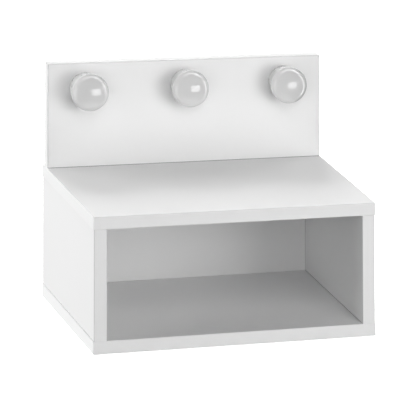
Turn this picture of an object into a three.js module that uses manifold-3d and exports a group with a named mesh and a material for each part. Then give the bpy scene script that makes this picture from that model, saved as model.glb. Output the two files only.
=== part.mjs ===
// Wall box shelf with an upright knob board and three round knobs that serve as hooks.
// Millimetres, +Z up. The open front faces -Y, the wall is at +Y, and the origin is at the
// bottom centre of the box.
import * as THREE from 'three';
import { mergeVertices } from 'three/addons/utils/BufferGeometryUtils.js';
import Module from 'manifold-3d';

const wasm = await Module();
wasm.setup();

// ---- Driving sizes ------------------------------------------------------------------------

// Whole object
const WIDTH = 400; // top and bottom panels, with their edge bands
const DEPTH = 300; // front edge to wall
const BOX_HEIGHT = 190; // underside to shelf surface
const KNOB_BOARD_HEIGHT = 150; // shelf surface to top edge

// Boards
const BOARD = 18; // thickness of every melamine board
const BAND = 1; // thickness of the glued edge bands
const BAND_ROUND = 0.7; // rounding of a band's two outer edges
const SIDE_INSET = 1; // the sides and the knob board stand in this far at each end
const KNOB_BOARD_REAR_GAP = 10; // knob board's rear face to the wall

// Cavity back
const BACK_PANEL = 3; // thickness
const BACK_INSET = 15; // its front face to the wall
const GROOVE_DEPTH = 6;
const GROOVE_PLAY = 0.2; // on each face of the back panel
const GROOVE_END_PLAY = 0.5; // on each edge of the back panel

// Knobs
const KNOB_COUNT = 3;
const KNOB_SPACING = 145;
const KNOB_BELOW_TOP = 37; // axis to the knob board's top edge
const KNOB_BASE_R = 23.5; // where it meets the board
const KNOB_R = 26.5; // widest, where the shoulder starts
const KNOB_BODY = 26.8; // board to shoulder
const KNOB_SHOULDER = 8; // radius of the rounded shoulder
const KNOB_DOME = 1.2; // rise of the front face
const KNOB_BASE_ROUND = 1.2;

// Knob fastening
const INSERT_R = 4.6;
const INSERT_LENGTH = 13;
const INSERT_SUNK = 0.5; // below the knob's rear face
const INSERT_GROOVE = 0.6; // depth of each grip groove
const INSERT_GROOVE_HALF = 0.8; // half its length along the insert
const KNOB_SCREW_R = 2;
const KNOB_SCREW_GRIP = 11; // length of screw inside the knob
const KNOB_SCREW_HEAD_R = 4;
const KNOB_SCREW_HEAD = 2.6;
const KNOB_SCREW_RECESS = 1.6;
const KNOB_SCREW_RECESS_REACH = 2; // centre to the end of a recess arm
const KNOB_SCREW_CHAMFER = 0.5;
const WASHER_R = 6;
const WASHER = 1;

// Dowels
const DOWEL_R = 4;
const DOWEL_CHAMFER = 1;
const DOWEL_IN_EDGE = 18; // depth in the edge of the standing board
const DOWEL_FACE_WALL = 6; // wood left behind a dowel in a panel's face
const DOWEL_FROM_FRONT = 45;
const DOWEL_FROM_REAR = 55;
const BOARD_DOWEL_FROM_CENTRE = 75;
const BOARD_DOWEL_WALL = 1.5; // wood left between a knob board dowel and the groove

// Screws up through the bottom panel into the sides
const CONFIRMAT_R = 3.2;
const CONFIRMAT_HEAD_R = 5;
const CONFIRMAT_HEAD = 4;
const CONFIRMAT_LENGTH = 50;
const CONFIRMAT_SUNK = 0.4; // head below the underside
const CONFIRMAT_SOCKET_R = 2.3;
const CONFIRMAT_SOCKET = 2.5;
const CONFIRMAT_TIP = 3; // length of the pointed end
const CONFIRMAT_FROM_FRONT = 35;
const CONFIRMAT_FROM_REAR = 45;

// Screws up through the top panel into the knob board
const BOARD_SCREW_R = 2;
const BOARD_SCREW_HEAD_R = 3.9;
const BOARD_SCREW_HEAD = 2.4;
const BOARD_SCREW_LENGTH = 45;
const BOARD_SCREW_SUNK = 0.3;
const BOARD_SCREW_SPACING = 150;
const BOARD_SCREW_COUNT = 3;
const BOARD_SCREW_WALL = 0.6; // wood left between the screw head and the groove

// Hanger plates on the rear of the knob board
const PLATE = 1.5; // sheet thickness
const PLATE_WIDTH = 20;
const PLATE_FOOT = 11; // length of each screwed foot
const PLATE_RAISED = 32; // length of the raised middle
const PLATE_GAP = 5; // board to the raised middle
const PLATE_FROM_END = 32; // plate centre to the knob board's end
const PLATE_BELOW_TOP = 40; // plate centre to the knob board's top edge
const KEYHOLE_R = 5;
const KEYHOLE_SLOT_R = 2.4;
const KEYHOLE_TRAVEL = 13; // round hole's centre to the slot's end centre
const HANGER_SCREW_R = 1.5;
const HANGER_SCREW_HEAD_R = 2.9;
const HANGER_SCREW_HEAD = 1.6;
const HANGER_SCREW_LENGTH = 14;

// Screw recesses
const CROSS_BLADE = 0.5; // half the thickness of a cross recess's arms
const WOOD_RECESS_REACH = 0.6; // recess arm as a share of a wood screw's head radius

// Fits
const HOLE_PLAY = 0.2; // radial play round dowels, screws and inserts
const BLIND_PLAY = 1; // extra depth of a blind hole

// Facets
const ROUND_SEGMENTS = 16;
const KNOB_SEGMENTS = 40;
const SHOULDER_STEPS = 6;
const DOME_STEPS = 3;
const HEXAGON = 6;
const EDGE_STEPS = 2;

// ---- Planes worked out from the driving sizes ----------------------------------------------

const FRONT = -DEPTH / 2;
const REAR = DEPTH / 2;
const END = WIDTH / 2;
const SIDE_OUTER = END - SIDE_INSET;
const SIDE_INNER = SIDE_OUTER - BOARD;
const SIDE_CENTRE = SIDE_OUTER - BOARD / 2;
const FLOOR = BOARD;
const CEILING = BOX_HEIGHT - BOARD;
const TOP = BOX_HEIGHT + KNOB_BOARD_HEIGHT;
const KNOB_BOARD_REAR = REAR - KNOB_BOARD_REAR_GAP;
const KNOB_BOARD_FRONT = KNOB_BOARD_REAR - BOARD;
const KNOB_BOARD_CENTRE = KNOB_BOARD_REAR - BOARD / 2;
const BACK_FRONT = REAR - BACK_INSET;
const KNOB_Z = TOP - KNOB_BELOW_TOP;
const BOARD_SCREW_Y =
  BACK_FRONT - GROOVE_PLAY - BOARD_SCREW_WALL - BOARD_SCREW_HEAD_R - HOLE_PLAY;
const PLATE_Z = TOP - PLATE_BELOW_TOP;

// ---- Materials -----------------------------------------------------------------------------

const melamine = () => new THREE.MeshStandardMaterial({ color: 0xf0f0ee, roughness: 0.45 });
const edging = () => new THREE.MeshStandardMaterial({ color: 0xf3f3f1, roughness: 0.4 });
const fibreboard = () => new THREE.MeshStandardMaterial({ color: 0xe9e9e6, roughness: 0.55 });
const lacquer = () => new THREE.MeshStandardMaterial({ color: 0xf4f4f2, roughness: 0.08 });
const beech = () => new THREE.MeshStandardMaterial({ color: 0xc9a877, roughness: 0.7 });
const brass = () =>
  new THREE.MeshStandardMaterial({ color: 0xc8a24a, roughness: 0.35, metalness: 1 });
const zinc = () =>
  new THREE.MeshStandardMaterial({ color: 0xb9bcc0, roughness: 0.35, metalness: 1 });

// ---- Solid helpers -------------------------------------------------------------------------

function toSolid(geometry) {
  const bare = geometry.clone();
  bare.deleteAttribute('normal');
  bare.deleteAttribute('uv');
  const merged = mergeVertices(bare, 1e-4);
  return new wasm.Manifold(
    new wasm.Mesh({
      numProp: 3,
      vertProperties: new Float32Array(merged.attributes.position.array),
      triVerts: new Uint32Array(merged.index.array),
    }),
  );
}

function toGeometry(solid) {
  const mesh = solid.getMesh();
  const geometry = new THREE.BufferGeometry();
  geometry.setAttribute('position', new THREE.BufferAttribute(mesh.vertProperties, 3));
  geometry.setIndex(new THREE.BufferAttribute(mesh.triVerts, 1));
  geometry.computeVertexNormals();
  return geometry;
}

function cut(geometry, cutters) {
  let solid = toSolid(geometry);
  for (const cutter of cutters) {
    solid = solid.subtract(toSolid(cutter));
  }
  return toGeometry(solid);
}

// A box between two corners.
function block(low, high) {
  const size = new THREE.Vector3().subVectors(high, low);
  const centre = new THREE.Vector3().addVectors(low, high).multiplyScalar(0.5);
  return new THREE.BoxGeometry(size.x, size.y, size.z).translate(centre.x, centre.y, centre.z);
}

// A round bar or cone from one point to another, radius by radius.
function bar(start, end, startRadius, endRadius = startRadius, segments = ROUND_SEGMENTS) {
  const along = new THREE.Vector3().subVectors(end, start);
  const centre = new THREE.Vector3().addVectors(start, end).multiplyScalar(0.5);
  const turn = new THREE.Quaternion().setFromUnitVectors(UP_Y, along.clone().normalize());
  return new THREE.CylinderGeometry(endRadius, startRadius, along.length(), segments)
    .applyQuaternion(turn)
    .translate(centre.x, centre.y, centre.z);
}

// A turned solid: [radius, height] pairs round the Y axis.
function turned(profile, segments = ROUND_SEGMENTS) {
  const points = profile.map(([radius, height]) => new THREE.Vector2(radius, height));
  return new THREE.LatheGeometry(points, segments);
}

const at = (x, y, z) => new THREE.Vector3(x, y, z);
const UP_Y = at(0, 1, 0);
const part = new THREE.Group();

function add(name, geometry, material, place = at(0, 0, 0), parent = part) {
  const mesh = new THREE.Mesh(geometry, material);
  mesh.name = name;
  mesh.position.copy(place);
  parent.add(mesh);
  return mesh;
}

// A board whose geometry is centred on itself, cut by cutters given in the object's frame.
function addBoard(name, low, high, material, cutters) {
  const centre = new THREE.Vector3().addVectors(low, high).multiplyScalar(0.5);
  const geometry = cut(block(low, high), cutters);
  geometry.translate(-centre.x, -centre.y, -centre.z);
  add(name, geometry, material, centre);
}

// ---- Where the joinery sits ----------------------------------------------------------------

const SIDES = [
  { word: 'left', sign: -1 },
  { word: 'right', sign: 1 },
];

// Glued dowels from each side panel up into the top panel and down into the bottom panel.
const topDowels = [];
const bottomDowels = [];
const confirmats = [];
for (const { word, sign } of SIDES) {
  const x = sign * SIDE_CENTRE;
  topDowels.push({ name: `top_dowel_${word}_front`, x, y: FRONT + DOWEL_FROM_FRONT });
  topDowels.push({ name: `top_dowel_${word}_rear`, x, y: REAR - DOWEL_FROM_REAR });
  bottomDowels.push({ name: `bottom_dowel_${word}`, x, y: 0 });
  confirmats.push({ name: `bottom_screw_${word}_front`, x, y: FRONT + CONFIRMAT_FROM_FRONT });
  confirmats.push({ name: `bottom_screw_${word}_rear`, x, y: REAR - CONFIRMAT_FROM_REAR });
}

const boardDowels = [-1, 1].map((sign, index) => ({
  name: `knob_board_dowel_${index + 1}`,
  x: sign * BOARD_DOWEL_FROM_CENTRE,
  y: KNOB_BOARD_CENTRE,
}));

// Evenly spaced places across the width, centred on it.
function row(count, spacing) {
  return Array.from({ length: count }, (_, index) => (index - (count - 1) / 2) * spacing);
}

const boardScrews = row(BOARD_SCREW_COUNT, BOARD_SCREW_SPACING).map((x, index) => ({
  name: `knob_board_screw_${index + 1}`,
  x,
  y: BOARD_SCREW_Y,
}));

const knobXs = row(KNOB_COUNT, KNOB_SPACING);

const hangers = SIDES.map(({ word, sign }) => ({
  word,
  x: sign * (SIDE_OUTER - PLATE_FROM_END),
}));
const HANGER_SCREW_DZ = PLATE_RAISED / 2 + PLATE_FOOT / 2;

// Depths of the dowels in a panel's face
const FACE_SEAT = BOARD - DOWEL_FACE_WALL;
const BOARD_DOWEL_SEAT = BOARD - GROOVE_DEPTH - BOARD_DOWEL_WALL;

// The countersinks
const CONFIRMAT_SINK = {
  sunk: CONFIRMAT_SUNK,
  head: CONFIRMAT_HEAD,
  headR: CONFIRMAT_HEAD_R,
  shankR: CONFIRMAT_R,
};
const BOARD_SCREW_SINK = {
  sunk: BOARD_SCREW_SUNK,
  head: BOARD_SCREW_HEAD,
  headR: BOARD_SCREW_HEAD_R,
  shankR: BOARD_SCREW_R,
};

function dowelHole({ x, y }, low, high) {
  return bar(at(x, y, low), at(x, y, high), DOWEL_R + HOLE_PLAY);
}

// ---- Cutters that boards share -------------------------------------------------------------

// The groove for the cavity back, in the faces that look into the cavity.
function groove(low, high) {
  return block(
    at(low.x, BACK_FRONT - GROOVE_PLAY, low.z),
    at(high.x, BACK_FRONT + BACK_PANEL + GROOVE_PLAY, high.z),
  );
}

// A countersunk hole right up through a panel whose underside is at height face.
function countersunkHole({ x, y }, face, { sunk, head, headR, shankR }) {
  return turned([
    [0, -1],
    [headR + HOLE_PLAY, -1],
    [headR + HOLE_PLAY, sunk],
    [shankR + HOLE_PLAY, sunk + head],
    [shankR + HOLE_PLAY, BOARD + 1],
    [0, BOARD + 1],
  ])
    .rotateX(Math.PI / 2)
    .translate(x, y, face);
}

// ---- Boards --------------------------------------------------------------------------------

function addTopPanel() {
  const cutters = [
    groove(at(-END, 0, CEILING - 1), at(END, 0, CEILING + GROOVE_DEPTH)),
    ...topDowels.map((dowel) => dowelHole(dowel, CEILING - 1, CEILING + FACE_SEAT + HOLE_PLAY)),
    ...boardDowels.map((dowel) =>
      dowelHole(dowel, BOX_HEIGHT - BOARD_DOWEL_SEAT - HOLE_PLAY, BOX_HEIGHT + 1),
    ),
    ...boardScrews.map((screw) => countersunkHole(screw, CEILING, BOARD_SCREW_SINK)),
  ];
  const low = at(-END + BAND, FRONT + BAND, CEILING);
  const high = at(END - BAND, REAR, BOX_HEIGHT);
  addBoard('top_panel', low, high, melamine(), cutters);
}

function addBottomPanel() {
  const cutters = [
    groove(at(-END, 0, FLOOR - GROOVE_DEPTH), at(END, 0, FLOOR + 1)),
    ...bottomDowels.map((dowel) => dowelHole(dowel, FLOOR - FACE_SEAT - HOLE_PLAY, FLOOR + 1)),
    ...confirmats.map((screw) => countersunkHole(screw, 0, CONFIRMAT_SINK)),
  ];
  const low = at(-END + BAND, FRONT + BAND, 0);
  const high = at(END - BAND, REAR, FLOOR);
  addBoard('bottom_panel', low, high, melamine(), cutters);
}

function addSidePanel({ word, sign }) {
  const grooveLow = Math.min(sign * (SIDE_INNER - 1), sign * (SIDE_INNER + GROOVE_DEPTH));
  const grooveHigh = Math.max(sign * (SIDE_INNER - 1), sign * (SIDE_INNER + GROOVE_DEPTH));
  const own = ({ x }) => x * sign > 0;
  const screwTop = CONFIRMAT_SUNK + CONFIRMAT_LENGTH + BLIND_PLAY;
  const cutters = [
    groove(at(grooveLow, 0, FLOOR - 1), at(grooveHigh, 0, CEILING + 1)),
    ...topDowels
      .filter(own)
      .map((dowel) => dowelHole(dowel, CEILING - DOWEL_IN_EDGE - BLIND_PLAY, CEILING + 1)),
    ...bottomDowels
      .filter(own)
      .map((dowel) => dowelHole(dowel, FLOOR - 1, FLOOR + DOWEL_IN_EDGE + BLIND_PLAY)),
    ...confirmats
      .filter(own)
      .map(({ x, y }) => bar(at(x, y, FLOOR - 1), at(x, y, screwTop), CONFIRMAT_R + HOLE_PLAY)),
  ];
  const inner = sign * SIDE_INNER;
  const outer = sign * SIDE_OUTER;
  const low = at(Math.min(inner, outer), FRONT + BAND, FLOOR);
  const high = at(Math.max(inner, outer), REAR, CEILING);
  addBoard(`${word}_side_panel`, low, high, melamine(), cutters);
}

function addKnobBoard() {
  const screwTop = CEILING + BOARD_SCREW_SUNK + BOARD_SCREW_LENGTH + BLIND_PLAY;
  const pilotEnd = KNOB_BOARD_REAR + PLATE - HANGER_SCREW_LENGTH - BLIND_PLAY;
  const cutters = [
    ...boardDowels.map((dowel) =>
      dowelHole(dowel, BOX_HEIGHT - 1, BOX_HEIGHT + DOWEL_IN_EDGE + BLIND_PLAY),
    ),
    ...boardScrews.map(({ x, y }) =>
      bar(at(x, y, BOX_HEIGHT - 1), at(x, y, screwTop), BOARD_SCREW_R + HOLE_PLAY),
    ),
    ...knobXs.map((x) =>
      bar(
        at(x, KNOB_BOARD_FRONT - 1, KNOB_Z),
        at(x, KNOB_BOARD_REAR + 1, KNOB_Z),
        KNOB_SCREW_R + HOLE_PLAY,
      ),
    ),
    ...hangers.flatMap(({ x }) =>
      [-HANGER_SCREW_DZ, HANGER_SCREW_DZ].map((dz) =>
        bar(
          at(x, pilotEnd, PLATE_Z + dz),
          at(x, KNOB_BOARD_REAR + 1, PLATE_Z + dz),
          HANGER_SCREW_R + HOLE_PLAY,
        ),
      ),
    ),
  ];
  const low = at(-SIDE_OUTER + BAND, KNOB_BOARD_FRONT, BOX_HEIGHT);
  const high = at(SIDE_OUTER - BAND, KNOB_BOARD_REAR, TOP - BAND);
  addBoard('knob_board', low, high, melamine(), cutters);
}

function addCavityBack() {
  const reach = GROOVE_DEPTH - GROOVE_END_PLAY;
  const width = 2 * (SIDE_INNER + reach);
  const height = CEILING - FLOOR + 2 * reach;
  const geometry = new THREE.BoxGeometry(width, BACK_PANEL, height);
  const middle = at(0, BACK_FRONT + BACK_PANEL / 2, (FLOOR + CEILING) / 2);
  add('cavity_back_panel', geometry, fibreboard(), middle);
}

// ---- Edge bands ----------------------------------------------------------------------------

// A band's section: flat against the board at x = 0, its two outer edges rounded.
function bandSection() {
  const half = BOARD / 2;
  const shape = new THREE.Shape();
  shape.moveTo(0, -half);
  shape.lineTo(BAND - BAND_ROUND, -half);
  shape.absarc(BAND - BAND_ROUND, -half + BAND_ROUND, BAND_ROUND, -Math.PI / 2, 0, false);
  shape.absarc(BAND - BAND_ROUND, half - BAND_ROUND, BAND_ROUND, 0, Math.PI / 2, false);
  shape.lineTo(0, half);
  shape.closePath();
  return shape;
}

// A straight band. along is its length's direction, out points away from the board's edge,
// and place is the middle of the glued face.
function addBand(name, length, place, along, out) {
  const geometry = new THREE.ExtrudeGeometry(bandSection(), {
    depth: length,
    bevelEnabled: false,
    curveSegments: EDGE_STEPS,
  });
  geometry.translate(0, 0, -length / 2);
  const across = new THREE.Vector3().crossVectors(along, out);
  geometry.applyMatrix4(new THREE.Matrix4().makeBasis(out, across, along));
  add(name, geometry, edging(), place);
}

function addEdgeBands() {
  const alongX = at(1, 0, 0);
  const alongZ = at(0, 0, 1);
  const forward = at(0, -1, 0);
  const coreDepth = DEPTH - BAND;
  const coreMiddleY = (FRONT + BAND + REAR) / 2;
  const knobCoreHeight = KNOB_BOARD_HEIGHT - BAND;
  for (const [board, z] of [['top', BOX_HEIGHT - BOARD / 2], ['bottom', BOARD / 2]]) {
    addBand(`${board}_front_edge_band`, WIDTH, at(0, FRONT + BAND, z), alongX, forward);
    for (const { word, sign } of SIDES) {
      const place = at(sign * (END - BAND), coreMiddleY, z);
      addBand(`${board}_${word}_edge_band`, coreDepth, place, at(0, 1, 0), at(sign, 0, 0));
    }
  }
  for (const { word, sign } of SIDES) {
    const front = at(sign * SIDE_CENTRE, FRONT + BAND, (FLOOR + CEILING) / 2);
    addBand(`${word}_side_edge_band`, CEILING - FLOOR, front, alongZ, forward);
    const z = BOX_HEIGHT + knobCoreHeight / 2;
    const end = at(sign * (SIDE_OUTER - BAND), KNOB_BOARD_CENTRE, z);
    addBand(`knob_board_${word}_edge_band`, knobCoreHeight, end, alongZ, at(sign, 0, 0));
  }
  const above = at(0, KNOB_BOARD_CENTRE, TOP - BAND);
  addBand('knob_board_top_edge_band', 2 * SIDE_OUTER, above, alongX, alongZ);
}

// ---- Knobs and their fastening -------------------------------------------------------------

// Points on an arc about [centreR, centreH] from one angle to another, without the first.
function arc(centreR, centreH, radius, from, to, steps) {
  return Array.from({ length: steps }, (_, index) => {
    const angle = from + ((to - from) * (index + 1)) / steps;
    return [centreR + radius * Math.cos(angle), centreH + radius * Math.sin(angle)];
  });
}

// The body widens from the board to the shoulder, which rounds over into a domed front.
function knobGeometry() {
  const boreR = INSERT_R + HOLE_PLAY;
  const boreDepth = INSERT_SUNK + INSERT_LENGTH + HOLE_PLAY;
  const tipDepth = Math.max(KNOB_SCREW_GRIP, boreDepth) + BLIND_PLAY;
  const baseCornerR = KNOB_BASE_R - KNOB_BASE_ROUND;
  const faceR = KNOB_R - KNOB_SHOULDER;
  const faceHeight = KNOB_BODY + KNOB_SHOULDER;
  const domeRadius = (faceR ** 2 + KNOB_DOME ** 2) / (2 * KNOB_DOME);
  const domeHalfAngle = Math.asin(faceR / domeRadius);
  const domeCentre = faceHeight + KNOB_DOME - domeRadius;
  const dome = arc(0, domeCentre, domeRadius, Math.PI / 2 - domeHalfAngle, Math.PI / 2, DOME_STEPS);
  dome[dome.length - 1][0] = 0;
  return turned(
    [
      [0, tipDepth],
      [KNOB_SCREW_R + HOLE_PLAY, tipDepth],
      [KNOB_SCREW_R + HOLE_PLAY, boreDepth],
      [boreR, boreDepth],
      [boreR, 0],
      [baseCornerR, 0],
      ...arc(baseCornerR, KNOB_BASE_ROUND, KNOB_BASE_ROUND, -Math.PI / 2, 0, EDGE_STEPS),
      [KNOB_R, KNOB_BODY],
      ...arc(faceR, KNOB_BODY, KNOB_SHOULDER, 0, Math.PI / 2, SHOULDER_STEPS),
      ...dome,
    ],
    KNOB_SEGMENTS,
  );
}

// A threaded insert with two grooves that grip the wood.
function insertGeometry() {
  const bore = KNOB_SCREW_R + HOLE_PLAY;
  const waist = INSERT_R - INSERT_GROOVE;
  const half = INSERT_GROOVE_HALF;
  const third = INSERT_LENGTH / 3;
  return turned([
    [bore, 0],
    [INSERT_R, 0],
    [INSERT_R, third - half],
    [waist, third],
    [INSERT_R, third + half],
    [INSERT_R, 2 * third - half],
    [waist, 2 * third],
    [INSERT_R, 2 * third + half],
    [INSERT_R, INSERT_LENGTH],
    [bore, INSERT_LENGTH],
    [bore, 0],
  ]);
}

// Cutters for a cross recess round the Y axis, between two heights.
function crossRecess(low, high, reach) {
  return [
    block(at(-reach, low, -CROSS_BLADE), at(reach, high, CROSS_BLADE)),
    block(at(-CROSS_BLADE, low, -reach), at(CROSS_BLADE, high, reach)),
  ];
}

// A pan head machine screw: head above height 0, shank below.
function knobScrewGeometry() {
  const length = WASHER + BOARD + KNOB_SCREW_GRIP;
  const screw = turned([
    [0, -length],
    [KNOB_SCREW_R - KNOB_SCREW_CHAMFER, -length],
    [KNOB_SCREW_R, -length + KNOB_SCREW_CHAMFER],
    [KNOB_SCREW_R, 0],
    [KNOB_SCREW_HEAD_R, 0],
    [KNOB_SCREW_HEAD_R, KNOB_SCREW_HEAD * 0.5],
    [KNOB_SCREW_HEAD_R * 0.85, KNOB_SCREW_HEAD * 0.85],
    [KNOB_SCREW_HEAD_R * 0.55, KNOB_SCREW_HEAD],
    [0, KNOB_SCREW_HEAD],
  ]);
  const bottom = KNOB_SCREW_HEAD - KNOB_SCREW_RECESS;
  return cut(screw, crossRecess(bottom, KNOB_SCREW_HEAD + 1, KNOB_SCREW_RECESS_REACH));
}

function washerGeometry() {
  const bore = KNOB_SCREW_R + HOLE_PLAY;
  return turned([
    [bore, 0],
    [WASHER_R, 0],
    [WASHER_R, WASHER],
    [bore, WASHER],
    [bore, 0],
  ]);
}

// Each knob group has +Y pointing away from the wall, out of the board's front face.
function addKnobs() {
  knobXs.forEach((x, index) => {
    const number = index + 1;
    const front = new THREE.Group();
    front.position.set(x, KNOB_BOARD_FRONT, KNOB_Z);
    front.rotation.z = Math.PI;
    part.add(front);
    add(`knob_${number}`, knobGeometry(), lacquer(), at(0, 0, 0), front);
    add(`knob_insert_${number}`, insertGeometry(), brass(), at(0, INSERT_SUNK, 0), front);

    const washerPlace = at(x, KNOB_BOARD_REAR, KNOB_Z);
    const screwPlace = at(x, KNOB_BOARD_REAR + WASHER, KNOB_Z);
    add(`knob_washer_${number}`, washerGeometry(), zinc(), washerPlace);
    add(`knob_screw_${number}`, knobScrewGeometry(), zinc(), screwPlace);
  });
}

// ---- Dowels and wood screws ----------------------------------------------------------------

// A dowel standing on height 0 of its own frame, along +Z.
function dowelGeometry(length) {
  const tipR = DOWEL_R - DOWEL_CHAMFER;
  return turned([
    [0, 0],
    [tipR, 0],
    [DOWEL_R, DOWEL_CHAMFER],
    [DOWEL_R, length - DOWEL_CHAMFER],
    [tipR, length],
    [0, length],
  ]).rotateX(Math.PI / 2);
}

function addDowels() {
  const sideDowel = DOWEL_IN_EDGE + FACE_SEAT;
  for (const { name, x, y } of topDowels) {
    add(name, dowelGeometry(sideDowel), beech(), at(x, y, CEILING - DOWEL_IN_EDGE));
  }
  for (const { name, x, y } of bottomDowels) {
    add(name, dowelGeometry(sideDowel), beech(), at(x, y, FLOOR - FACE_SEAT));
  }
  for (const { name, x, y } of boardDowels) {
    const length = BOARD_DOWEL_SEAT + DOWEL_IN_EDGE;
    add(name, dowelGeometry(length), beech(), at(x, y, BOX_HEIGHT - BOARD_DOWEL_SEAT));
  }
}

// A countersunk screw with its head's flat at height 0, pointing along +Y.
function countersunkScrew(length, radius, headR, head, tip) {
  return turned([
    [0, 0],
    [headR, 0],
    [radius, head],
    [radius, length - tip],
    [0, length],
  ]);
}

function confirmatGeometry() {
  const screw = countersunkScrew(
    CONFIRMAT_LENGTH,
    CONFIRMAT_R,
    CONFIRMAT_HEAD_R,
    CONFIRMAT_HEAD,
    CONFIRMAT_TIP,
  );
  const socket = bar(
    at(0, -1, 0),
    at(0, CONFIRMAT_SOCKET, 0),
    CONFIRMAT_SOCKET_R,
    CONFIRMAT_SOCKET_R,
    HEXAGON,
  );
  return cut(screw, [socket]).rotateX(Math.PI / 2);
}

// A wood screw with a cross recess, pointing along +Y.
function woodScrewGeometry(length, radius, headR, head) {
  const screw = countersunkScrew(length, radius, headR, head, 2 * radius);
  return cut(screw, crossRecess(-1, head / 2, headR * WOOD_RECESS_REACH));
}

function addWoodScrews() {
  for (const { name, x, y } of confirmats) {
    add(name, confirmatGeometry(), zinc(), at(x, y, CONFIRMAT_SUNK));
  }
  for (const { name, x, y } of boardScrews) {
    const geometry = woodScrewGeometry(
      BOARD_SCREW_LENGTH,
      BOARD_SCREW_R,
      BOARD_SCREW_HEAD_R,
      BOARD_SCREW_HEAD,
    ).rotateX(Math.PI / 2);
    add(name, geometry, zinc(), at(x, y, CEILING + BOARD_SCREW_SUNK));
  }
}

// ---- Hanger plates -------------------------------------------------------------------------

// The plate's side view: two feet on the board and a raised middle. x is the distance from
// the board, y runs up the plate.
function plateSection() {
  const foot = PLATE_RAISED / 2 + PLATE_FOOT;
  const mid = PLATE_RAISED / 2;
  const raised = PLATE_GAP + PLATE;
  const shape = new THREE.Shape();
  shape.moveTo(0, -foot);
  shape.lineTo(PLATE, -foot);
  shape.lineTo(PLATE, -mid);
  shape.lineTo(raised, -mid);
  shape.lineTo(raised, mid);
  shape.lineTo(PLATE, mid);
  shape.lineTo(PLATE, foot);
  shape.lineTo(0, foot);
  shape.lineTo(0, mid - PLATE);
  shape.lineTo(PLATE_GAP, mid - PLATE);
  shape.lineTo(PLATE_GAP, -mid + PLATE);
  shape.lineTo(0, -mid + PLATE);
  shape.closePath();
  return shape;
}

// The keyhole cutter, along +Y: a round hole with a narrower slot above it.
function keyholeCutters() {
  const low = PLATE_GAP - 1;
  const high = PLATE_GAP + PLATE + 1;
  const roundZ = -KEYHOLE_TRAVEL / 2;
  const slotZ = KEYHOLE_TRAVEL / 2;
  return [
    bar(at(0, low, roundZ), at(0, high, roundZ), KEYHOLE_R),
    bar(at(0, low, slotZ), at(0, high, slotZ), KEYHOLE_SLOT_R),
    block(at(-KEYHOLE_SLOT_R, low, roundZ), at(KEYHOLE_SLOT_R, high, slotZ)),
  ];
}

function hangerPlateGeometry() {
  const sheet = new THREE.ExtrudeGeometry(plateSection(), {
    depth: PLATE_WIDTH,
    bevelEnabled: false,
  });
  sheet.translate(0, 0, -PLATE_WIDTH / 2);
  sheet.applyMatrix4(new THREE.Matrix4().makeBasis(at(0, 1, 0), at(0, 0, 1), at(1, 0, 0)));
  const sinkDepth = HANGER_SCREW_HEAD + 1;
  const flare = ((HANGER_SCREW_HEAD_R - HANGER_SCREW_R) * sinkDepth) / HANGER_SCREW_HEAD;
  const screwHoles = [-HANGER_SCREW_DZ, HANGER_SCREW_DZ].flatMap((dz) => [
    bar(at(0, -1, dz), at(0, PLATE + 1, dz), HANGER_SCREW_R + HOLE_PLAY),
    bar(
      at(0, PLATE - HANGER_SCREW_HEAD, dz),
      at(0, PLATE + 1, dz),
      HANGER_SCREW_R + HOLE_PLAY,
      HANGER_SCREW_R + HOLE_PLAY + flare,
    ),
  ]);
  return cut(sheet, [...keyholeCutters(), ...screwHoles]);
}

function addHangers() {
  for (const { word, x } of hangers) {
    const plate = at(x, KNOB_BOARD_REAR, PLATE_Z);
    add(`${word}_hanger_plate`, hangerPlateGeometry(), zinc(), plate);
    for (const [end, dz] of [['lower', -HANGER_SCREW_DZ], ['upper', HANGER_SCREW_DZ]]) {
      const geometry = woodScrewGeometry(
        HANGER_SCREW_LENGTH,
        HANGER_SCREW_R,
        HANGER_SCREW_HEAD_R,
        HANGER_SCREW_HEAD,
      ).rotateX(Math.PI);
      const place = at(x, KNOB_BOARD_REAR + PLATE, PLATE_Z + dz);
      add(`${word}_hanger_screw_${end}`, geometry, zinc(), place);
    }
  }
}

// ---- Assembly ------------------------------------------------------------------------------

addTopPanel();
addBottomPanel();
SIDES.forEach(addSidePanel);
addKnobBoard();
addCavityBack();
addEdgeBands();
addKnobs();
addDowels();
addWoodScrews();
addHangers();

export default part;
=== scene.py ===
import math

import bmesh
import bpy
from mathutils import Matrix, Vector


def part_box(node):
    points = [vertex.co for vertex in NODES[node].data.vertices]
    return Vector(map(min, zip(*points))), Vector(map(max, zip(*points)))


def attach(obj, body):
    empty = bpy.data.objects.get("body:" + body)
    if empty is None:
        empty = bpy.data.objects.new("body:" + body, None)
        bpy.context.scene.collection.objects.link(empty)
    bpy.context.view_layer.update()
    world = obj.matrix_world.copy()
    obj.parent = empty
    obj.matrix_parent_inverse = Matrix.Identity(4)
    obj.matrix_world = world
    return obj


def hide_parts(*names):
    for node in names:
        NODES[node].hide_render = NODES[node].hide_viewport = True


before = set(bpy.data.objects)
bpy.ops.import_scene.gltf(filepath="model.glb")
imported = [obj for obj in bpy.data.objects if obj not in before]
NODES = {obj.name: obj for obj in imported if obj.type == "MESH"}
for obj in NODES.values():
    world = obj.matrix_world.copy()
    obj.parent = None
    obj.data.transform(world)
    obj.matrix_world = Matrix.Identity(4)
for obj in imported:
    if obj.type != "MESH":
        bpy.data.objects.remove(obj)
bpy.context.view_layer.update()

MM = 0.001

# ---- Driving values -----------------------------------------------------------------------

# Camera. The photograph is a squared-up product picture: its uprights stay parallel, so its
# picture plane isn't square to the line of sight. These are the eye and the directions of
# the picture's right edge, top edge and back, in the part's frame.
EYE = Vector((-1.7546, -6.5171, 1.9168))
PICTURE_RIGHT = Vector((0.84135, -0.53235, 0.09342))
PICTURE_UP = Vector((-0.01754, -0.06741, 0.99757))
PICTURE_BACK = Vector((-0.25149, -0.93429, 0.2527))
SENSOR_WIDTH = 36.0
LENS = 412.1
CLIP_END = 100.0

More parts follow.
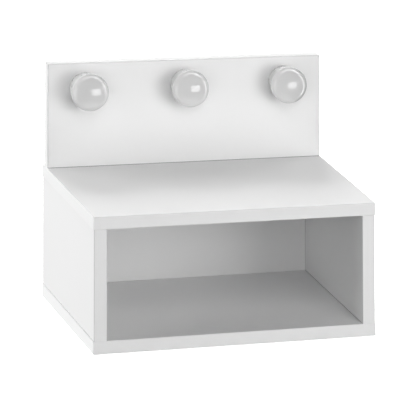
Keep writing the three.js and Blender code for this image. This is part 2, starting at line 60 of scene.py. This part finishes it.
# Knobs, in millimetres; their widest radius and length come from the CAD
KNOB_BASE_R = 23.5
KNOB_BASE_ROUND = 1.2
KNOB_SHOULDER = 8.0
KNOB_DOME = 1.2
KNOB_SEGMENTS = 128
KNOB_BASE_STEPS = 4
KNOB_BODY_STEPS = 8
KNOB_SHOULDER_STEPS = 16
KNOB_DOME_STEPS = 10

# Colours, linear. The whites were matched to the photograph's grey levels, so they differ a
# little from piece to piece.
WHITE = (0.785, 0.785, 0.785)
BAND_WHITE = (0.785, 0.785, 0.785)
# Painted light: the top and bottom end bands are the same ABS band as the other bands, in paler
# whites, the bottom ones palest for painted light from below.
TOP_END_PAINTED_LIGHT_WHITE = (0.80, 0.80, 0.80)
BOTTOM_END_PAINTED_LIGHT_WHITE = (0.85, 0.85, 0.85)
PANEL_WHITE = (0.80, 0.80, 0.80)
LACQUER_WHITE = (0.63, 0.63, 0.63)
# The grey of the painted shade in the joints.
JOINT_SHADE_GREY = (0.12, 0.12, 0.12)
FLOOR_WHITE = (0.9, 0.9, 0.9, 1.0)
FULL_WHITE = (1.0, 1.0, 1.0, 1.0)

# Painted shade on the rounded edges of the edge bands, as a share of the band's own white. These were
# matched to the photograph too.
FRONT_ARRIS_SHADE = 0.93
UPRIGHT_ARRIS_SHADE = 0.72
CREST_ARRIS_SHADE = 0.97
TOP_END_ARRIS_SHADE = 0.97
BOTTOM_END_ARRIS_SHADE = 0.80

# Painted shade: dark lines where boards and bands meet, for the shade in the joints. Each holds the
# axis across the line, the side of the board's box it runs along, and how dark it is. A line reaches
# this far to each side.
JOINT_SHADE_REACH = 0.5 * MM
DEEP = 0.9
CLEAR = 0.5
FAINT = 0.3
HAIRLINE = 0.2
SIDE_JOINT_SHADES = ((2, "low", DEEP), (2, "high", FAINT), (1, "low", FAINT))
END_JOINT_SHADES = ((0, "low", FAINT), (0, "high", FAINT))
JOINT_SHADES = {
    "left_side_panel": SIDE_JOINT_SHADES,
    "right_side_panel": SIDE_JOINT_SHADES,
    "knob_board": (
        (2, "low", DEEP),
        (2, "high", FAINT),
        (0, "low", HAIRLINE),
        (0, "high", HAIRLINE),
    ),
    "top_panel": END_JOINT_SHADES,
    "bottom_panel": END_JOINT_SHADES,
}

# Painted shade where another board stands against the middle of a face: axis, position and darkness
SIDE_INNER_FACE_SHADES = [
    (0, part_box("left_side_panel")[1][0], CLEAR),
    (0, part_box("right_side_panel")[0][0], CLEAR),
]
CONTACT_SHADES = {
    "top_panel": [(1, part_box("knob_board")[0][1], DEEP)],
    "bottom_panel": SIDE_INNER_FACE_SHADES + [(1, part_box("cavity_back_panel")[0][1], CLEAR)],
    "cavity_back_panel": SIDE_INNER_FACE_SHADES,
}

# Chipboard: how far from its middle the fine outer layer starts and is complete
CHIP_SKIN_START = 5.2 * MM
CHIP_SKIN_FULL = 6.4 * MM

# A face looks along an axis when its normal's component there is over FACING, and belongs to
# a rounded edge when no component reaches FLAT
FACING = 0.7
FLAT = 0.99

# Studio softboxes round the part: name, azimuth and elevation in degrees, strength in watts.
# Azimuth 0 is straight in front of the part and grows to its right. The strengths were solved
# from the photograph's grey levels. No gloss shows these lights; it shows the panels below.
SOFTBOX_SIZE = 1.7
SOFTBOX_DISTANCE = 3.0
SOFTBOXES = [
    ("front_right", 30, 5, 49.0),
    ("front_high", 0, 35, 27.0),
    ("front_left", -30, 5, 23.0),
    ("left", -95, 5, 64.0),
    ("rear_left", -120, 35, 36.0),
    ("rear_right", 120, 35, 38.0),
    ("rear", 180, 35, 78.0),
]

# Panels that show as reflections only: name, azimuth, elevation, distance, width and height
# in metres, and radiance. The window is the small bright rectangle in each knob.
PANELS = [
    ("window", 18.7, -11.3, 20.0, 3.55, 2.44, 3.4),
    ("panel_right", 47, -8, 3.0, 1.2, 2.4, 5.0),
    ("panel_high", 52, 40, 3.0, 1.4, 1.8, 5.0),
    ("panel_top", 20, 72, 3.0, 4.0, 1.0, 6.0),
    ("panel_left", -58, -10, 3.0, 1.6, 2.6, 2.0),
    ("panel_rear", 180, -5, 3.0, 4.5, 5.0, 0.8),
]
LIGHT_TARGET = Vector((0.0, 0.0, 0.17))

# Floor, in metres: half its width, and how far it lies below the part
FLOOR_REACH = 40.0
FLOOR_DROP = 0.5 * MM
FLOOR_GLOW = 1.0


# ---- Node helpers -------------------------------------------------------------------------


def new_material(name, **sockets):
    """A material, its node tree and its Principled shader with these sockets set."""
    material = bpy.data.materials.new(name)
    material.use_nodes = True
    shader = material.node_tree.nodes["Principled BSDF"]
    for socket, value in sockets.items():
        shader.inputs[socket.replace("_", " ")].default_value = value
    return material, material.node_tree, shader


def add_node(tree, kind, inputs=None, **properties):
    """A node of this kind. inputs maps sockets to values, or to sockets to link from."""
    node = tree.nodes.new("ShaderNode" + kind)
    for name, value in properties.items():
        setattr(node, name, value)
    for name, value in (inputs or {}).items():
        if isinstance(value, bpy.types.NodeSocket):
            tree.links.new(value, node.inputs[name])
        else:
            node.inputs[name].default_value = value
    return node


def place(tree, scale=(1.0, 1.0, 1.0), turn=(0.0, 0.0, 0.0)):
    """The part's own coordinates in metres, scaled and turned."""
    coordinates = add_node(tree, "TexCoord").outputs["Object"]
    mapping = add_node(tree, "Mapping", {"Vector": coordinates, "Scale": scale, "Rotation": turn})
    return mapping.outputs["Vector"]


def noise(tree, vector, scale, detail=4.0, roughness=0.5):
    """Noise of about 0 to 1, with this many features in a metre."""
    inputs = {"Vector": vector, "Scale": scale, "Detail": detail, "Roughness": roughness}
    return add_node(tree, "TexNoise", inputs).outputs["Fac"]


def remap(tree, value, low, high, to_low, to_high):
    """value with its range low to high stretched to to_low to to_high."""
    inputs = {
        "Value": value,
        "From Min": low,
        "From Max": high,
        "To Min": to_low,
        "To Max": to_high,
    }
    return add_node(tree, "MapRange", inputs).outputs["Result"]


def blend_colours(tree, factor, first, second):
    """first where factor is 0, second where it is 1."""
    node = add_node(tree, "Mix", data_type="RGBA")
    for socket, value in ((node.inputs[0], factor), (node.inputs[6], first), (node.inputs[7], second)):
        if isinstance(value, bpy.types.NodeSocket):
            tree.links.new(value, socket)
        elif isinstance(value, tuple):
            socket.default_value = (*value, 1.0)
        else:
            socket.default_value = value
    return node.outputs[2]


def scaled(colour, factor):
    """The colour with each channel times factor."""
    return tuple(channel * factor for channel in colour)


def bump(tree, shader, height, strength, distance):
    """Feeds height to the shader as a bump of this depth in metres."""
    inputs = {"Height": height, "Strength": strength, "Distance": distance}
    node = add_node(tree, "Bump", inputs)
    tree.links.new(node.outputs["Normal"], shader.inputs["Normal"])


def axis_of(tree, source, axis):
    """One component of a vector socket: 0 for X, 1 for Y, 2 for Z."""
    return add_node(tree, "SeparateXYZ", {"Vector": source}).outputs[axis]


def maths(tree, operation, *values):
    """A Math node's result for these values or sockets."""
    return add_node(tree, "Math", dict(enumerate(values)), operation=operation).outputs[0]


def largest(tree, sockets):
    """The largest of these sockets at each point."""
    most = sockets[0]
    for socket in sockets[1:]:
        most = maths(tree, "MAXIMUM", most, socket)
    return most


def distance_to(tree, axis, position):
    """How far each point lies from a position on this axis of the part, in metres."""
    coordinates = add_node(tree, "TexCoord").outputs["Object"]
    offset = maths(tree, "SUBTRACT", axis_of(tree, coordinates, axis), position)
    return maths(tree, "ABSOLUTE", offset)


# ---- Materials ----------------------------------------------------------------------------


def chip_colour(tree, axis, middle):
    """Chipboard's cut edge: a coarse core of chips between two finer, paler outer layers."""
    chips = place(tree)
    cells = add_node(tree, "TexVoronoi", {"Vector": chips, "Scale": 420.0, "Randomness": 1.0})
    grey = add_node(tree, "RGBToBW", {"Color": cells.outputs["Color"]}).outputs["Val"]
    core = blend_colours(tree, grey, (0.26, 0.16, 0.085), (0.60, 0.44, 0.28))
    fine = noise(tree, chips, 2600.0, 3.0)
    skin = blend_colours(tree, fine, (0.36, 0.25, 0.15), (0.62, 0.47, 0.31))
    from_middle = distance_to(tree, axis, middle)
    outer = remap(tree, from_middle, CHIP_SKIN_START, CHIP_SKIN_FULL, 0.0, 1.0)
    return blend_colours(tree, outer, core, skin)


def facing(tree, axis):
    """1 on the faces that look along this axis, 0 on the others."""
    normal = add_node(tree, "TexCoord").outputs["Normal"]
    size = maths(tree, "ABSOLUTE", axis_of(tree, normal, axis))
    return maths(tree, "GREATER_THAN", size, FACING)


def joint_shade_lines(tree, lines):
    """How dark the painted shade lines at the joints are here. lines holds (axis, position, darkness).
    """
    shades = []
    for axis, position, darkness in lines:
        near = maths(tree, "LESS_THAN", distance_to(tree, axis, position), JOINT_SHADE_REACH)
        shades.append(maths(tree, "MULTIPLY", near, darkness))
    return largest(tree, shades)


def melamine(name, axis, middle, lines):
    """A white melamine face with a fine pebble and painted shade along its joints, and raw chipboard
    on the cut edges.
    """
    material, tree, shader = new_material(name, Specular_IOR_Level=0.2)
    vector = place(tree)
    cloud = noise(tree, vector, 9.0, 3.0)
    clean = blend_colours(tree, cloud, scaled(WHITE, 0.985), WHITE)
    # Painted shade: dark lines at the joints and where boards meet.
    face = blend_colours(tree, joint_shade_lines(tree, lines), clean, JOINT_SHADE_GREY)
    pebble = noise(tree, vector, 1500.0, 3.0, 0.6)
    is_face = facing(tree, axis)
    colour = blend_colours(tree, is_face, chip_colour(tree, axis, middle), face)
    tree.links.new(colour, shader.inputs["Base Color"])
    smooth = remap(tree, pebble, 0.3, 0.7, 0.38, 0.50)
    rough = add_node(tree, "Mix", {0: is_face, 2: 0.85, 3: smooth}).outputs[0]
    tree.links.new(rough, shader.inputs["Roughness"])
    bump(tree, shader, pebble, 0.12, 0.02 * MM)
    return material


def arris_shade_mask(tree):
    """1 on the rounded edges, whose faces look along no single axis, 0 on the flats: the mask for the
    bands' painted shade.
    """
    normal = add_node(tree, "NewGeometry").outputs["True Normal"]
    sizes = [maths(tree, "ABSOLUTE", axis_of(tree, normal, axis)) for axis in range(3)]
    return maths(tree, "LESS_THAN", largest(tree, sizes), FLAT)


def edging(name, along, white, arris_shade):
    """White ABS edge band: satin, with the faint long drag of the trimming scraper.

    along is the axis the band runs along, white is its colour, paler on the end bands as painted
    light, and arris_shade darkens its rounded edges as painted shade."""
    material, tree, shader = new_material(name, Specular_IOR_Level=0.25)
    stretch = [1.0, 1.0, 1.0]
    stretch[along] = 0.03
    drag = noise(tree, place(tree, scale=tuple(stretch)), 1800.0, 3.0)
    cloud = noise(tree, place(tree), 14.0, 2.0)
    flat = blend_colours(tree, cloud, scaled(white, 0.985), white)
    # Painted shade: the rounded edges take a darker copy of the band's white.
    colour = blend_colours(tree, arris_shade_mask(tree), flat, scaled(white, arris_shade))
    tree.links.new(colour, shader.inputs["Base Color"])
    tree.links.new(remap(tree, drag, 0.3, 0.7, 0.30, 0.42), shader.inputs["Roughness"])
    bump(tree, shader, drag, 0.08, 0.02 * MM)
    return material


def hardboard(name, lines):
    """White-painted hardboard inside the cubby with painted shade where the sides meet it, and its raw
    brown face behind.
    """
    material, tree, shader = new_material(name, Specular_IOR_Level=0.35)
    vector = place(tree)
    roller = noise(tree, vector, 700.0, 4.0, 0.6)
    paint = blend_colours(tree, noise(tree, vector, 8.0, 3.0), scaled(PANEL_WHITE, 0.98), PANEL_WHITE)
    fibres = noise(tree, place(tree, scale=(1.0, 1.0, 0.35)), 900.0, 6.0, 0.7)
    brown = blend_colours(tree, fibres, (0.17, 0.095, 0.05), (0.40, 0.26, 0.15))
    front = axis_of(tree, add_node(tree, "TexCoord").outputs["Normal"], 1)
    painted = maths(tree, "LESS_THAN", front, -FACING)
    clean = blend_colours(tree, painted, brown, paint)
    # Painted shade: dark lines where the side panels meet the hardboard.
    colour = blend_colours(tree, joint_shade_lines(tree, lines), clean, JOINT_SHADE_GREY)
    tree.links.new(colour, shader.inputs["Base Color"])
    rough = add_node(tree, "Mix", {0: painted, 2: 0.9, 3: 0.5}).outputs[0]
    tree.links.new(rough, shader.inputs["Roughness"])
    bump(tree, shader, roller, 0.15, 0.03 * MM)
    return material


def lacquer(name):
    """White gloss lacquer with the slightest orange peel over turned wood."""
    material, tree, shader = new_material(
        name,
        Specular_IOR_Level=0.5,
        Coat_Weight=1.0,
        Coat_Roughness=0.01,
    )
    vector = place(tree)
    cloud = noise(tree, vector, 30.0, 2.0)
    colour = blend_colours(tree, cloud, scaled(LACQUER_WHITE, 0.985), LACQUER_WHITE)
    tree.links.new(colour, shader.inputs["Base Color"])
    peel = noise(tree, vector, 260.0, 2.0)
    tree.links.new(remap(tree, peel, 0.3, 0.7, 0.02, 0.05), shader.inputs["Roughness"])
    bump(tree, shader, peel, 0.02, 0.005 * MM)
    return material


def metal(name, colour, drawn):
    """Plated or turned metal with fine drawn lines and a patchy sheen."""
    material, tree, shader = new_material(name, Metallic=1.0)
    lines = noise(tree, place(tree, scale=drawn), 2400.0, 3.0, 0.6)
    patches = noise(tree, place(tree), 160.0, 4.0)
    tone = blend_colours(tree, patches, scaled(colour, 0.86), colour)
    tree.links.new(tone, shader.inputs["Base Color"])
    tree.links.new(remap(tree, lines, 0.3, 0.7, 0.26, 0.46), shader.inputs["Roughness"])
    bump(tree, shader, lines, 0.15, 0.02 * MM)
    return material


def beech(name):
    """Bare beech with its short dark flecks along the dowel."""
    material, tree, shader = new_material(name, Roughness=0.7, Specular_IOR_Level=0.3)
    grain = noise(tree, place(tree, scale=(1.0, 1.0, 0.12)), 1400.0, 5.0, 0.6)
    colour = blend_colours(tree, grain, (0.42, 0.26, 0.13), (0.72, 0.53, 0.34))
    tree.links.new(colour, shader.inputs["Base Color"])
    bump(tree, shader, grain, 0.3, 0.05 * MM)
    return material


def dress(node, material):
    """Gives a CAD node this material in every slot."""
    slots = NODES[node].data.materials
    slots.clear()
    slots.append(material)


def dress_boards():
    """Melamine on the five thick boards, by the axis across each board's thickness."""
    for node, axis in (
        ("top_panel", 2),
        ("bottom_panel", 2),
        ("left_side_panel", 0),
        ("right_side_panel", 0),
        ("knob_board", 1),
    ):
        low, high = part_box(node)
        # The painted shade lines at this board's joints and contacts.
        lines = []
        for across, side, darkness in JOINT_SHADES[node]:
            corner = low if side == "low" else high
            lines.append((across, corner[across], darkness))
        lines += CONTACT_SHADES.get(node, [])
        middle = (low[axis] + high[axis]) / 2
        dress(node, melamine("melamine_" + node, axis, middle, lines))
    dress("cavity_back_panel", hardboard("painted_hardboard", CONTACT_SHADES["cavity_back_panel"]))


def dress_bands():
    """Each band's scraper drag runs along its length."""
    # Every band material carries painted shade on its rounded edges.
    front = edging("edging_front", 0, BAND_WHITE, FRONT_ARRIS_SHADE)
    upright = edging("edging_upright", 2, BAND_WHITE, UPRIGHT_ARRIS_SHADE)
    crest = edging("edging_crest", 0, BAND_WHITE, CREST_ARRIS_SHADE)
    # Painted light: the end bands take paler whites than the other bands.
    top_end = edging("edging_top_end_painted_light", 1, TOP_END_PAINTED_LIGHT_WHITE, TOP_END_ARRIS_SHADE)
    bottom_end = edging("edging_bottom_end_painted_light", 1, BOTTOM_END_PAINTED_LIGHT_WHITE, BOTTOM_END_ARRIS_SHADE)
    band_materials = {
        "top_front_edge_band": front,
        "bottom_front_edge_band": front,
        "left_side_edge_band": upright,
        "right_side_edge_band": upright,
        "knob_board_left_edge_band": upright,
        "knob_board_right_edge_band": upright,
        "knob_board_top_edge_band": crest,
        "top_left_edge_band": top_end,
        "top_right_edge_band": top_end,
        "bottom_left_edge_band": bottom_end,
        "bottom_right_edge_band": bottom_end,
    }
    for node, band_material in band_materials.items():
        dress(node, band_material)


def dress_hardware():
    """Brass inserts, beech dowels, and zinc for every screw, washer and hanger plate."""
    zinc = metal("zinc_plate", (0.66, 0.67, 0.69), (1.0, 1.0, 0.06))
    brass = metal("turned_brass", (0.74, 0.55, 0.24), (1.0, 0.06, 1.0))
    wood = beech("beech_dowel")
    for node in NODES:
        if "insert" in node:
            dress(node, brass)
        elif "dowel" in node:
            dress(node, wood)
        elif "screw" in node or "washer" in node or "plate" in node:
            dress(node, zinc)


# ---- Knobs --------------------------------------------------------------------------------


def arc_points(centre, radius, start, end, steps):
    """Points on an arc in (radius, height), from one angle to another in degrees."""
    points = []
    for index in range(steps + 1):
        angle = math.radians(start + (end - start) * index / steps)
        points.append((centre[0] + radius * math.cos(angle), centre[1] + radius * math.sin(angle)))
    return points


def knob_profile(radius, length):
    """The knob's outline from its rear centre to its front centre, in millimetres."""
    face_r = radius - KNOB_SHOULDER
    body = length - KNOB_SHOULDER - KNOB_DOME
    corner_r = KNOB_BASE_R - KNOB_BASE_ROUND
    dome_r = (face_r**2 + KNOB_DOME**2) / (2 * KNOB_DOME)
    dome_half = math.degrees(math.asin(face_r / dome_r))
    dome_centre = (0.0, length - dome_r)
    profile = [(0.0, 0.0), (corner_r * 0.5, 0.0)]
    base_centre = (corner_r, KNOB_BASE_ROUND)
    profile += arc_points(base_centre, KNOB_BASE_ROUND, -90, 0, KNOB_BASE_STEPS)
    for step in range(1, KNOB_BODY_STEPS):
        along = step / KNOB_BODY_STEPS
        wide = KNOB_BASE_R + (radius - KNOB_BASE_R) * along
        profile.append((wide, KNOB_BASE_ROUND + (body - KNOB_BASE_ROUND) * along))
    profile += arc_points((face_r, body), KNOB_SHOULDER, 0, 90, KNOB_SHOULDER_STEPS)
    profile += arc_points(dome_centre, dome_r, 90 - dome_half, 90, KNOB_DOME_STEPS)[1:-1]
    profile.append((0.0, length))
    return profile


def turned_mesh(name, profile, segments):
    """Spins (radius, height) points round the Y axis; height runs along -Y."""
    work = bmesh.new()
    rings = []
    for radius, height in profile:
        if radius == 0.0:
            rings.append([work.verts.new((0.0, -height * MM, 0.0))])
            continue
        ring = []
        for index in range(segments):
            angle = 2 * math.pi * index / segments
            x = radius * math.cos(angle) * MM
            z = radius * math.sin(angle) * MM
            ring.append(work.verts.new((x, -height * MM, z)))
        rings.append(ring)
    for lower, upper in zip(rings, rings[1:]):
        for index in range(segments):
            after = (index + 1) % segments
            corners = [lower[index % len(lower)], lower[after % len(lower)]]
            corners += [upper[after % len(upper)], upper[index % len(upper)]]
            corners = list(dict.fromkeys(corners))
            work.faces.new(corners).smooth = True
    bmesh.ops.recalc_face_normals(work, faces=work.faces)
    mesh = bpy.data.meshes.new(name)
    work.to_mesh(mesh)
    work.free()
    return mesh


def make_knobs():
    """A finer turned knob in place of each faceted one."""
    coat = lacquer("gloss_lacquer")
    for node in ("knob_1", "knob_2", "knob_3"):
        low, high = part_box(node)
        radius = (high[0] - low[0]) / 2 / MM
        length = (high[1] - low[1]) / MM
        mesh = turned_mesh(node + "_turned", knob_profile(radius, length), KNOB_SEGMENTS)
        mesh.materials.append(coat)
        piece = bpy.data.objects.new(node + "_turned", mesh)
        piece.location = ((low[0] + high[0]) / 2, high[1], (low[2] + high[2]) / 2)
        bpy.context.scene.collection.objects.link(piece)
        bpy.context.view_layer.update()
        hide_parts(node)
        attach(piece, "root")


# ---- Studio -------------------------------------------------------------------------------


def make_floor():
    """A glowing white table. It lights, shades and reflects in nothing, like the photograph's
    cut-out background."""
    mesh = bpy.data.meshes.new("floor")
    work = bmesh.new()
    bmesh.ops.create_grid(work, x_segments=8, y_segments=8, size=FLOOR_REACH)
    work.to_mesh(mesh)
    work.free()
    material, _, shader = new_material("white_table", Roughness=0.9)
    shader.inputs["Base Color"].default_value = FLOOR_WHITE
    shader.inputs["Emission Color"].default_value = FULL_WHITE
    shader.inputs["Emission Strength"].default_value = FLOOR_GLOW
    mesh.materials.append(material)
    floor = bpy.data.objects.new("floor", mesh)
    floor.location.z = -FLOOR_DROP
    floor.visible_diffuse = False
    floor.visible_glossy = False
    floor.visible_shadow = False
    bpy.context.scene.collection.objects.link(floor)


def add_area_light(name, azimuth, elevation, distance, width, height, energy):
    """A rectangular light on a sphere round the part, turned to its middle."""
    data = bpy.data.lights.new(name, "AREA")
    data.shape = "RECTANGLE"
    data.size = width
    data.size_y = height
    data.energy = energy
    turn = math.radians(azimuth)
    rise = math.radians(elevation)
    outward = Vector(
        (math.sin(turn) * math.cos(rise), -math.cos(turn) * math.cos(rise), math.sin(rise))
    )
    light = bpy.data.objects.new(name, data)
    light.location = LIGHT_TARGET + outward * distance
    light.rotation_euler = outward.to_track_quat("Z", "Y").to_euler()
    light.visible_camera = False
    bpy.context.scene.collection.objects.link(light)
    return light


def make_softboxes():
    """The lights that shade the part. Glossy rays don't see them."""
    for name, azimuth, elevation, energy in SOFTBOXES:
        light = add_area_light(
            name, azimuth, elevation, SOFTBOX_DISTANCE, SOFTBOX_SIZE, SOFTBOX_SIZE, energy
        )
        light.visible_glossy = False


def make_panels():
    """Lights of an even radiance that glossy rays see and diffuse rays don't."""
    for name, azimuth, elevation, distance, width, height, radiance in PANELS:
        energy = radiance * math.pi * width * height
        light = add_area_light(name, azimuth, elevation, distance, width, height, energy)
        light.visible_diffuse = False


def make_world():
    """White behind the part. Diffuse and glossy rays don't see it, so it lights nothing."""
    world = bpy.data.worlds.new("studio")
    world.use_nodes = True
    background = world.node_tree.nodes["Background"]
    background.inputs["Color"].default_value = FULL_WHITE
    background.inputs["Strength"].default_value = 1.0
    world.cycles_visibility.diffuse = False
    world.cycles_visibility.glossy = False
    bpy.context.scene.world = world


def make_camera():
    """The camera hangs on an empty, and the link between them holds the picture's directions."""
    data = bpy.data.cameras.new("camera")
    data.sensor_width = SENSOR_WIDTH
    data.lens = LENS
    data.clip_end = CLIP_END
    camera = bpy.data.objects.new("camera", data)
    stand = bpy.data.objects.new("camera_stand", None)
    for item in (camera, stand):
        bpy.context.scene.collection.objects.link(item)
    directions = Matrix((PICTURE_RIGHT, PICTURE_UP, PICTURE_BACK)).transposed().to_4x4()
    camera.parent = stand
    camera.matrix_parent_inverse = Matrix.Translation(EYE) @ directions
    bpy.context.scene.camera = camera


dress_boards()
dress_bands()
dress_hardware()
make_knobs()
make_floor()
make_softboxes()
make_panels()
make_world()
make_camera()
bpy.context.scene.view_settings.view_transform = "Standard"
